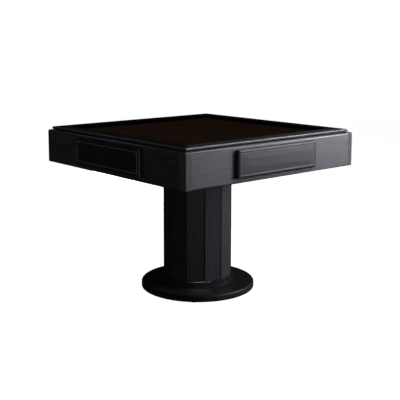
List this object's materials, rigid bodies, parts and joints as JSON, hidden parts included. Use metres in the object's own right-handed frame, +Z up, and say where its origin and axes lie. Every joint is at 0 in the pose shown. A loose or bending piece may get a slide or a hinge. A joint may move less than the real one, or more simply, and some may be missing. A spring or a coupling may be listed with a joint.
{
  "type": "games table",
  "caption": "Square games and dining table: recessed playing surface in a mitred rim, a padded drawer in each side, staved column on a round weighted base.",
  "frame": {"origin": "on the floor under the middle of the table", "axes": "+Z up through the column; -Y is the front, and each side, front, right (+X), back and left (-X), has one drawer"},
  "size_m": [1.053, 1.053, 0.762],
  "materials": {
    "black_oak": "black stained oak, open grain, satin lacquer",
    "birch_ply": "birch plywood, clear matt lacquer",
    "playing_surface": "dark brown playing cloth, tight and smooth",
    "leather": "black leather, fine grain, satin",
    "zinc_steel": "zinc plated",
    "black_steel": "black powder coat",
    "nylon": "moulded nylon"
  },
  "bodies": {
    "table": {"playfield": "playing_surface", "deck": "birch_ply", "bottom_panel": "birch_ply", "head_plate": "black_steel", "head_bolts": "zinc_steel", "front_rim": "black_oak", "right_rim": "black_oak", "back_rim": "black_oak", "left_rim": "black_oak", "front_apron": "black_oak", "right_apron": "black_oak", "back_apron": "black_oak", "left_apron": "black_oak", "front_right_post": "black_oak", "back_right_post": "black_oak", "back_left_post": "black_oak", "front_left_post": "black_oak", "front_crate_rail": "birch_ply", "right_crate_rail": "birch_ply", "back_crate_rail": "birch_ply", "left_crate_rail": "birch_ply", "outer_slides": "zinc_steel", "column_head": "birch_ply", "column_staves": "black_oak", "column_splines": "birch_ply", "column_foot": "birch_ply", "plinth": "black_oak", "base": "black_oak", "base_weight": "black_steel", "base_bolts": "zinc_steel", "glides": "nylon"},
    "front_drawer": {"front_drawer_board": "birch_ply", "front_drawer_leather": "leather", "front_drawer_box_sides": "birch_ply", "front_drawer_box_ends": "birch_ply", "front_drawer_box_floor": "birch_ply", "front_drawer_runners": "zinc_steel"},
    "front_slide": {"front_middle_slides": "zinc_steel"},
    "right_drawer": {"right_drawer_board": "birch_ply", "right_drawer_leather": "leather", "right_drawer_box_sides": "birch_ply", "right_drawer_box_ends": "birch_ply", "right_drawer_box_floor": "birch_ply", "right_drawer_runners": "zinc_steel"},
    "right_slide": {"right_middle_slides": "zinc_steel"},
    "back_drawer": {"back_drawer_board": "birch_ply", "back_drawer_leather": "leather", "back_drawer_box_sides": "birch_ply", "back_drawer_box_ends": "birch_ply", "back_drawer_box_floor": "birch_ply", "back_drawer_runners": "zinc_steel"},
    "back_slide": {"back_middle_slides": "zinc_steel"},
    "left_drawer": {"left_drawer_board": "birch_ply", "left_drawer_leather": "leather", "left_drawer_box_sides": "birch_ply", "left_drawer_box_ends": "birch_ply", "left_drawer_box_floor": "birch_ply", "left_drawer_runners": "zinc_steel"},
    "left_slide": {"left_middle_slides": "zinc_steel"}
  },
  "joints": [
    {"name": "front_drawer_travel", "type": "slide", "parent": "table", "child": "front_drawer", "axis": [0, -1, 0], "range_m": [0, 0.21]},
    {"name": "front_slide_travel", "type": "slide", "parent": "table", "child": "front_slide", "axis": [0, -1, 0], "range_m": [0, 0.105]},
    {"name": "right_drawer_travel", "type": "slide", "parent": "table", "child": "right_drawer", "axis": [1, 0, 0], "range_m": [0, 0.21]},
    {"name": "right_slide_travel", "type": "slide", "parent": "table", "child": "right_slide", "axis": [1, 0, 0], "range_m": [0, 0.105]},
    {"name": "back_drawer_travel", "type": "slide", "parent": "table", "child": "back_drawer", "axis": [0, 1, 0], "range_m": [0, 0.21]},
    {"name": "back_slide_travel", "type": "slide", "parent": "table", "child": "back_slide", "axis": [0, 1, 0], "range_m": [0, 0.105]},
    {"name": "left_drawer_travel", "type": "slide", "parent": "table", "child": "left_drawer", "axis": [-1, 0, 0], "range_m": [0, 0.21]},
    {"name": "left_slide_travel", "type": "slide", "parent": "table", "child": "left_slide", "axis": [-1, 0, 0], "range_m": [0, 0.105]}
  ],
  "couplings": [
    {"joint": "front_slide_travel", "follows": "front_drawer_travel", "ratio": 0.5},
    {"joint": "right_slide_travel", "follows": "right_drawer_travel", "ratio": 0.5},
    {"joint": "back_slide_travel", "follows": "back_drawer_travel", "ratio": 0.5},
    {"joint": "left_slide_travel", "follows": "left_drawer_travel", "ratio": 0.5}
  ]
}
